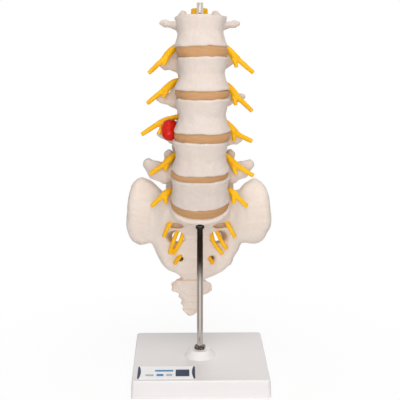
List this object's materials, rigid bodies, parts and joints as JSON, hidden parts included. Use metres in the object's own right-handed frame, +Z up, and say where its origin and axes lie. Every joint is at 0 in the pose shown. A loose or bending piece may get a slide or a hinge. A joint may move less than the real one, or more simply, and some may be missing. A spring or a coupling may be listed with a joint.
{
  "type": "spine anatomy model",
  "caption": "Life-size desk model of the lower spine with sacrum, nerve roots and a slipped disc, threaded on an upright rod in a square base.",
  "frame": {"origin": "on the rod's axis, in the plane that the base rests on", "axes": "+Z up along the rod, +Y towards the spinous processes (the back of the body), +X to the right of somebody facing the front of the spine"},
  "size_m": [0.1362, 0.1288, 0.3319],
  "materials": {
    "base": "glossy moulded white",
    "label": "coated sticker",
    "chrome": "polished",
    "clip": "blackened",
    "bone": "satin, faintly mottled",
    "disc": "satin with fibre lines",
    "nucleus": "glossy",
    "nerve": "satin"
  },
  "bodies": {
    "root": {"base_shell": "base", "base_label": "label", "stand_rod": "chrome", "rod_nuts": "chrome", "rod_washer": "chrome", "rod_clip": "clip", "sacrum": "bone", "coccyx": "bone", "vertebra_l1": "bone", "vertebra_l2": "bone", "vertebra_l3": "bone", "vertebra_l4": "bone", "vertebra_l5": "bone", "disc_l1_l2": "disc", "disc_l2_l3": "disc", "disc_l3_l4": "disc", "disc_l4_l5": "disc", "disc_l5_s1": "disc", "prolapsed_nucleus": "nucleus", "spinal_cord": "nerve", "nerve_l1_left": "nerve", "nerve_l1_right": "nerve", "nerve_l2_left": "nerve", "nerve_l2_right": "nerve", "nerve_l3_left": "nerve", "nerve_l3_right": "nerve", "nerve_l4_left": "nerve", "nerve_l4_right": "nerve", "nerve_l5_left": "nerve", "nerve_l5_right": "nerve", "nerve_s1_left": "nerve", "nerve_s1_right": "nerve", "nerve_s2_left": "nerve", "nerve_s2_right": "nerve", "nerve_s3_left": "nerve", "nerve_s3_right": "nerve"}
  },
  "joints": []
}
